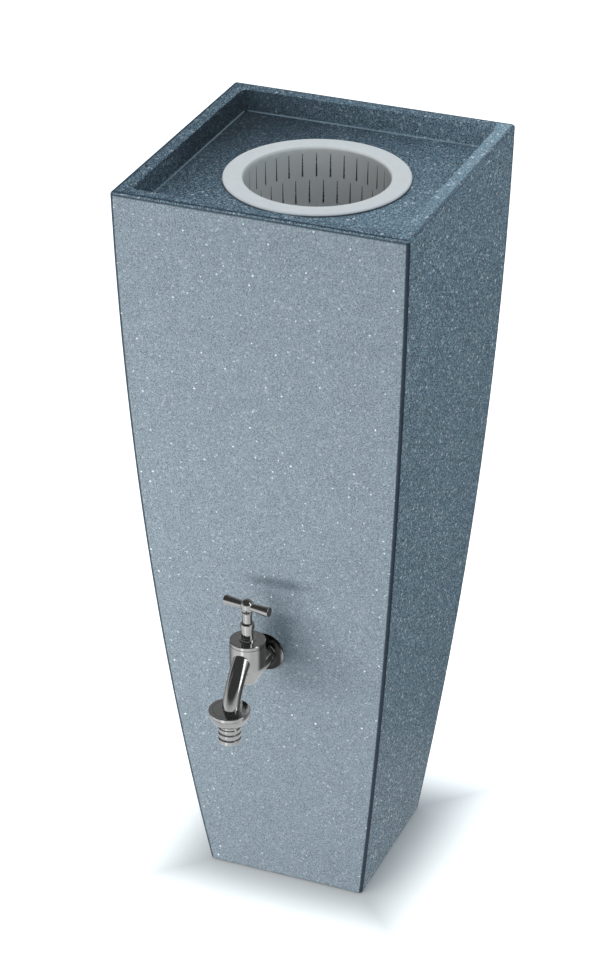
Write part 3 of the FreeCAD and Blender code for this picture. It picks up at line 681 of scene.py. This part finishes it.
def screw_ridge(name, root_r, tip_r, foot, head, lead_in, body, axis):
    """One long pointed ridge, wound round an upright axis between two heights. It starts as a
    triangle of radius 1, which is 1.5 long and twice the root of 0.75 wide."""
    half_width = THREAD_PITCH * 0.42
    turns = (head - foot) / THREAD_PITCH - 1.0
    clear_selection()
    bpy.ops.mesh.primitive_circle_add(
        vertices=3, radius=1.0, rotation=(0.0, math.radians(90), math.radians(-90)))
    ridge = bpy.context.object
    ridge.name = name
    bpy.ops.object.transform_apply(rotation=True)
    bpy.ops.object.mode_set(mode="EDIT")
    bpy.ops.mesh.select_all(action="SELECT")
    bpy.ops.transform.resize(value=((tip_r - root_r) / 1.5, 1.0, half_width / math.sqrt(0.75)),
                             center_override=(0.0, 0.0, 0.0))
    bpy.ops.transform.translate(value=(root_r + (tip_r - root_r) / 3.0, 0.0,
                                       foot + (0.5 + lead_in) * THREAD_PITCH))
    bpy.ops.object.mode_set(mode="OBJECT")
    wind = ridge.modifiers.new("wind", "SCREW")
    wind.axis = "Z"
    wind.angle = 2.0 * math.pi * turns
    wind.screw_offset = THREAD_PITCH * turns
    wind.steps = wind.render_steps = int(64 * turns)
    wind.use_merge_vertices = False
    bpy.ops.object.modifier_apply(modifier=wind.name)
    bpy.ops.object.mode_set(mode="EDIT")
    bpy.ops.mesh.select_all(action="SELECT")
    bpy.ops.mesh.fill_holes(sides=0)
    bpy.ops.mesh.select_all(action="SELECT")
    bpy.ops.mesh.normals_make_consistent(inside=False)
    bpy.ops.transform.translate(value=(axis.x, axis.y, 0.0))
    bpy.ops.object.mode_set(mode="OBJECT")
    bpy.ops.object.shade_smooth_by_angle(angle=math.radians(30.0))
    coat(ridge, finish_for["chrome"])
    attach(ridge, body)


body_of = {name: body for body, names in frame["record"]["behaviour"]["bodies"].items()
           for name in names}
slot_of = {part["node"]: part["material_slot"] for part in frame["record"]["subparts"]}

pieces = {}
for name in ("tank_shell", "filter_basket", "wall_rosette", "tap_body", "bonnet", "gland_nut",
             "t_handle", "union_nut", "hose_tail", "spindle"):
    pieces[name] = smooth_copy(name, body_of[name], slot_of[name])

# The chrome mirrors the floor and the sky, and not the shell
pieces["tank_shell"].visible_glossy = False
# The rosette's chrome has painted shade on its left and a painted highlight on its right
coat(pieces["wall_rosette"],
     chrome("shaded_chrome", axis=0, start=0.012, end=0.022, bright=0.05, tone_at_end=0.85))

outlet_axis = joint_place("nut_turn")
narrow_outlet(pieces["tap_body"], outlet_axis)
screw_ridge("outlet_thread", OUTLET_CORE_R - 0.0002, OUTLET_THREAD_R, OUTLET_FOOT, OUTLET_COLLAR,
            0.0, "tank", outlet_axis)
screw_ridge("nut_thread", NUT_THREAD_R + 0.0002, OUTLET_CORE_R + 0.0001, NUT_THREAD_FOOT,
            NUT_THREAD_HEAD, (OUTLET_FOOT - NUT_THREAD_FOOT) / THREAD_PITCH - 0.5, "nut", outlet_axis)

# The solids that no finished piece replaces keep their own form
for name, solid in frame["nodes"].items():
    if not solid.hide_render:
        coat(solid, finish_for[slot_of[name]])


# Stage: floor, sky, lamps and camera

def mix_shaders(tree, share, first, second):
    """One Mix Shader node."""
    made = tree.nodes.new("ShaderNodeMixShader")
    for socket, value in zip(made.inputs, (share, first, second)):
        put(tree, socket, value)
    return made.outputs[0]


def shining(tree, kind, colour, strength):
    """An emission or background shader."""
    made = tree.nodes.new(kind)
    made.inputs["Color"].default_value = colour
    put(tree, made.inputs["Strength"], strength)
    return made.outputs[0]


def seen_in_metal(tree, path):
    """Whether a ray comes from a mirroring or a clear surface."""
    return sums(tree, "MAXIMUM", path.outputs["Is Glossy Ray"], path.outputs["Is Transmission Ray"])


def fade_round(tree, bearing, low, high, at_low, at_high):
    """A smooth step between two bearings in degrees."""
    return fade(tree, bearing, math.radians(low), math.radians(high), at_low, at_high)


def mirrored_floor(tree, x, y):
    """What chrome mirrors of the floor, by bearing from a place near the tap: dark at both sides
    and behind, with one light streak ahead."""
    ahead = sums(tree, "SUBTRACT", MIRROR_Y, y)
    bearing = sums(tree, "ARCTAN2", x, ahead)
    spread = sums(tree, "ADD", product(tree, x, x), product(tree, ahead, ahead))
    far = fade(tree, spread, 0.12, 0.36)
    to_right = product(tree, fade_round(tree, bearing, 20, 50, 0.92, 0.72),
                       fade_round(tree, bearing, 78, 112, 1.0, 0.14))
    to_left = fade_round(tree, bearing, -125, -60, 0.25, 1.0)
    streak = fade_round(tree, gap_to(tree, bearing, math.radians(-12)), 5, 11, 0.5, 0.0)
    around = sums(tree, "MULTIPLY_ADD", product(tree, to_right, to_left), 0.80, streak)
    near = product(tree, sums(tree, "SUBTRACT", 1.0, far), 0.62)
    strength = sums(tree, "ADD", product(tree, around, far), near)
    return shining(tree, "ShaderNodeEmission", WHITE, strength)


def pale_floor():
    """A white floor: its glow to the camera fades towards the tank, a painted shadow that darkens the
    floor where the real shadow lies.
    """
    clear_selection()
    bpy.ops.mesh.primitive_plane_add(size=30.0, location=(0, 0, 0))
    floor = bpy.context.object
    floor.name = "studio_floor"
    made, tree, shader = material("studio_floor", Base_Color=(0.64, 0.62, 0.605, 1.0),
                                  Roughness=0.9, Specular_IOR_Level=0.0)
    x, y = place_parts(tree)[:2]
    off_centre = sums(tree, "MAXIMUM", sums(tree, "ABSOLUTE", x), sums(tree, "ABSOLUTE", y))
    away = sums(tree, "SUBTRACT", off_centre, BASE_WIDTH / 2.0)
    seen = tree.nodes.new("ShaderNodeAddShader")
    put(tree, seen.inputs[0], shader.outputs[0])
    put(tree, seen.inputs[1], shining(tree, "ShaderNodeEmission", (0.94, 0.98, 1.0, 1.0),
                                      fade(tree, away, -0.01, 0.115, 0.07, 0.87)))
    path = tree.nodes.new("ShaderNodeLightPath")
    lit = mix_shaders(tree, path.outputs["Is Camera Ray"], shader.outputs[0], seen.outputs[0])
    whole = mix_shaders(tree, seen_in_metal(tree, path), lit, mirrored_floor(tree, x, y))
    put(tree, tree.nodes["Material Output"].inputs["Surface"], whole)
    coat(floor, made)


def strip(tree, bearing, rise, middle, half_width, top, strength):
    """One upright strip of light in the sky that chrome mirrors, by bearing and height."""
    turn = gap_to(tree, bearing, math.radians(middle))
    across = fade_round(tree, turn, half_width * 0.8, half_width * 1.2, strength, 0.0)
    return product(tree, across, fade(tree, rise, top, top + 0.12, 1.0, 0.0))


def mirrored_sky(tree, x, y, z):
    """What chrome mirrors of the sky: pale low down, dark overhead and a little lighter behind the
    tank, with a bright strip at the right and a faint one at the left."""
    bearing = sums(tree, "ARCTAN2", x, product(tree, y, -1.0))
    behind = fade(tree, y, 0.25, 0.7, 0.05, 0.17)
    low = sums(tree, "MAXIMUM", fade(tree, z, 0.02, 0.30, 0.50, 0.05), behind)
    right = strip(tree, bearing, z, middle=92.0, half_width=9.0, top=0.72, strength=1.7)
    left = strip(tree, bearing, z, middle=-62.0, half_width=7.0, top=0.55, strength=0.12)
    strength = sums(tree, "ADD", low, sums(tree, "ADD", right, left))
    return shining(tree, "ShaderNodeBackground", WHITE, strength)


def studio_sky():
    """White where the camera looks, and a soft dome for the light."""
    world = bpy.data.worlds.new("studio_sky")
    world.use_nodes = True
    tree = world.node_tree
    tree.nodes.clear()
    split = tree.nodes.new("ShaderNodeSeparateXYZ")
    put(tree, split.inputs[0], tree.nodes.new("ShaderNodeTexCoord").outputs["Generated"])
    x, y, z = split.outputs[0], split.outputs[1], split.outputs[2]
    dome_strength = product(tree, fade(tree, z, 0.0, 0.75, 0.40, 0.76),
                            fade(tree, x, 0.0, 0.9, 1.0, 0.86))
    dome = shining(tree, "ShaderNodeBackground", (0.84, 0.99, 1.09, 1.0), dome_strength)
    path = tree.nodes.new("ShaderNodeLightPath")
    around = mix_shaders(tree, seen_in_metal(tree, path), dome, mirrored_sky(tree, x, y, z))
    whole = mix_shaders(tree, path.outputs["Is Camera Ray"], around,
                        shining(tree, "ShaderNodeBackground", WHITE, 1.0))
    out = tree.nodes.new("ShaderNodeOutputWorld")
    put(tree, out.inputs["Surface"], whole)
    bpy.context.scene.world = world


def lamp(name, place, target, width, height, power, colour):
    """A flat lamp that faces its target and isn't mirrored in the chrome."""
    data = bpy.data.lights.new(name, "AREA")
    data.shape = "RECTANGLE"
    data.size = width
    data.size_y = height
    data.energy = power
    data.color = colour
    made = bpy.data.objects.new(name, data)
    bpy.context.scene.collection.objects.link(made)
    made.location = place
    made.rotation_euler = (Vector(target) - Vector(place)).to_track_quat("-Z", "Y").to_euler()
    made.visible_glossy = False


def photo_camera():
    """The camera, where the photograph was taken from."""
    azimuth = math.radians(CAMERA_BEARING)
    elevation = math.radians(CAMERA_RISE)
    roll = math.radians(CAMERA_ROLL)
    back = Vector((math.sin(azimuth) * math.cos(elevation),
                   -math.cos(azimuth) * math.cos(elevation), math.sin(elevation)))
    right = Vector((math.cos(azimuth), math.sin(azimuth), 0.0))
    up = back.cross(right)
    turned_right = right * math.cos(roll) + up * math.sin(roll)
    turned_up = up * math.cos(roll) - right * math.sin(roll)
    data = bpy.data.cameras.new("photo_camera")
    data.sensor_width = 36.0
    data.lens = CAMERA_LENS
    data.clip_start = 0.1
    data.clip_end = 100.0
    camera = bpy.data.objects.new("photo_camera", data)
    bpy.context.scene.collection.objects.link(camera)
    turn = Matrix((turned_right, turned_up, back)).transposed().to_4x4()
    camera.matrix_world = Matrix.Translation(CAMERA_PLACE) @ turn
    bpy.context.scene.camera = camera


pale_floor()
studio_sky()
lamp("key", place=(-1.34, -3.68, 1.23), target=(0.0, 0.0, 0.45), width=2.0, height=1.2, power=24.0,
     colour=WARM_WHITE)
lamp("low", place=(-0.75, -1.55, 0.16), target=(0.0, 0.0, 0.22), width=1.2, height=0.30, power=22.0,
     colour=WARM_WHITE)
lamp("fill", place=(-3.0, -2.6, 2.9), target=(0.0, 0.0, 0.9), width=2.6, height=2.0, power=20.0,
     colour=(1.0, 0.98, 0.95))
photo_camera()
bpy.context.scene.view_settings.view_transform = "Standard"
